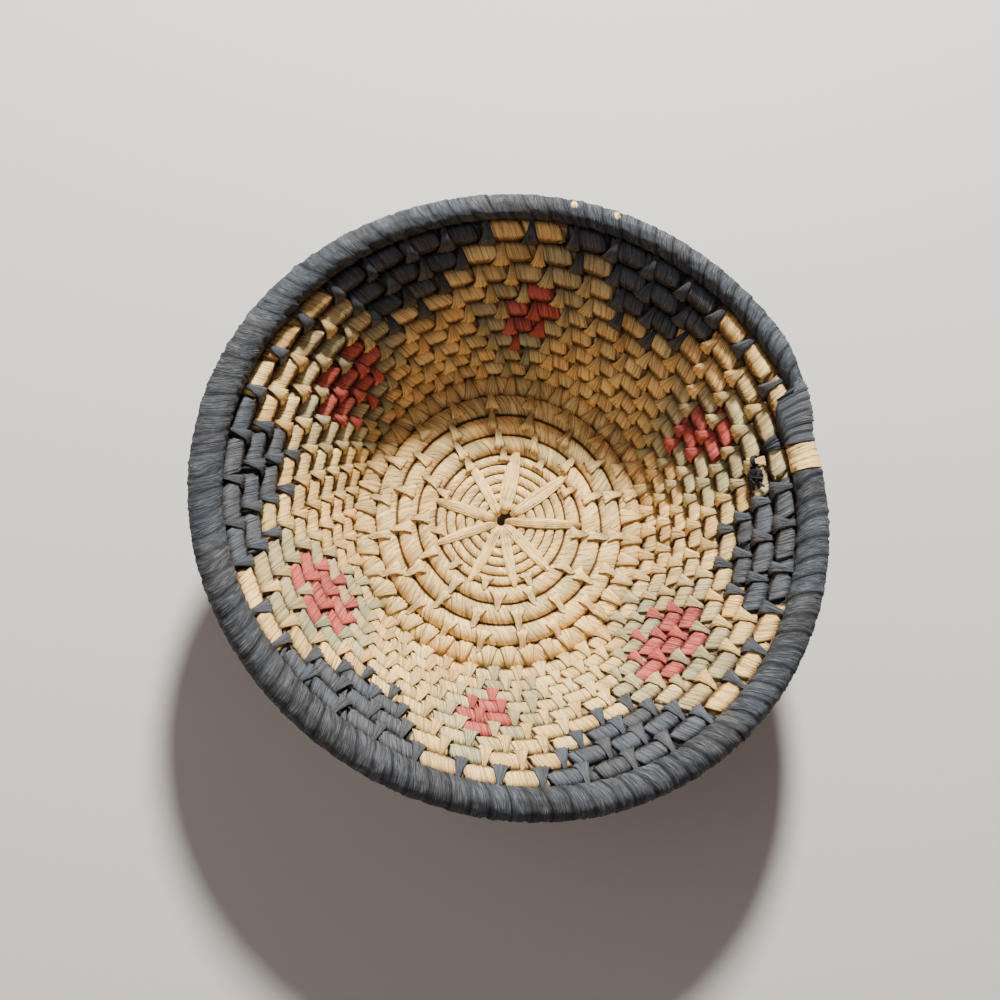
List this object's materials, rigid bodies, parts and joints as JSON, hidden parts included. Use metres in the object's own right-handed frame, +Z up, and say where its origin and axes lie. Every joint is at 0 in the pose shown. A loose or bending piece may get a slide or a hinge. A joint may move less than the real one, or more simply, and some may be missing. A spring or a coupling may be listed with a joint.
{
  "type": "coiled basket",
  "caption": "Round coiled raffia basket with a flat base, flared wall, stepped dark and red pattern and a thick dark bound rim.",
  "frame": {"origin": "middle of the basket's footprint on the surface it stands on, under the middle of the rim", "axes": "+Z up out of the open bowl; +X towards the place where the rim coil starts, +Y a quarter turn counter-clockwise from +X seen from above"},
  "size_m": [0.2594, 0.2556, 0.0923],
  "materials": {
    "straw": "natural raffia, dry and matt, over a bundle of grass",
    "golden": "golden tan raffia wrap, dry and matt",
    "sage": "dyed raffia, mostly sage and tan with red motifs, matt",
    "charcoal": "charcoal dyed raffia wrap, slightly glossy fibres",
    "thread": "dark waxed thread"
  },
  "bodies": {
    "root": {"base_coil": "straw", "base_stitch_01": "straw", "base_stitch_02": "straw", "base_stitch_03": "straw", "base_stitch_04": "straw", "base_stitch_05": "straw", "base_stitch_06": "straw", "base_stitch_07": "straw", "base_stitch_08": "straw", "base_stitch_09": "straw", "base_stitch_10": "straw", "base_stitch_11": "straw", "base_stitch_12": "straw", "base_stitch_13": "straw", "base_stitch_14": "straw", "base_stitch_15": "straw", "base_stitch_16": "straw", "base_stitch_17": "straw", "base_stitch_18": "straw", "base_stitch_19": "straw", "base_stitch_20": "straw", "base_stitch_21": "straw", "base_stitch_22": "straw", "border_coil": "golden", "pattern_coil": "sage", "rim_coil": "charcoal", "rim_start_wrap": "straw", "start_coil": "straw", "start_strap_1": "straw", "start_strap_2": "straw", "start_strap_3": "straw", "start_strap_4": "straw", "start_strap_5": "straw", "start_strap_6": "straw", "start_strap_7": "straw", "start_strap_8": "straw", "start_strap_9": "straw", "thread_knot": "thread", "wall_coil": "golden"}
  },
  "joints": []
}
